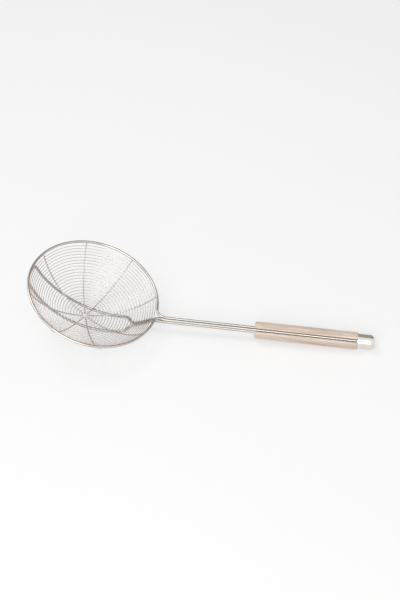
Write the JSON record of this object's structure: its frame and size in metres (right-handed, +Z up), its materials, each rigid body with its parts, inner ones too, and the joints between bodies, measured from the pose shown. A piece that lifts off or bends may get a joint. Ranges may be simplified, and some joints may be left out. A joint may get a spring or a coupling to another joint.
{
  "type": "spider skimmer",
  "caption": "Round wire skimmer with a deep spiral-wound bowl, a hairpin support under it, and a long wooden grip with a rounded steel end cap.",
  "frame": {"origin": "middle of the bounding box's underside, on the table the skimmer rests on", "axes": "+X towards the end cap along the handle in plan, +Z up, +Y to the left of someone looking from the bowl to the cap"},
  "size_m": [0.468, 0.1836, 0.1002],
  "materials": {
    "steel_rod": "bright drawn stainless steel",
    "steel_mesh": "bright drawn stainless steel",
    "grip_wood": "smooth sanded light hardwood",
    "polished_steel": "polished"
  },
  "bodies": {
    "root": {"rim_wire": "steel_rod", "support_wire": "steel_rod", "mesh_spiral": "steel_mesh", "grip_half_upper": "grip_wood", "grip_half_lower": "grip_wood", "end_cap": "polished_steel", "rib_1": "steel_mesh", "rib_2": "steel_mesh", "rib_3": "steel_mesh", "rib_4": "steel_mesh", "rib_5": "steel_mesh", "rib_6": "steel_mesh", "rib_7": "steel_mesh", "rib_8": "steel_mesh"}
  },
  "joints": []
}
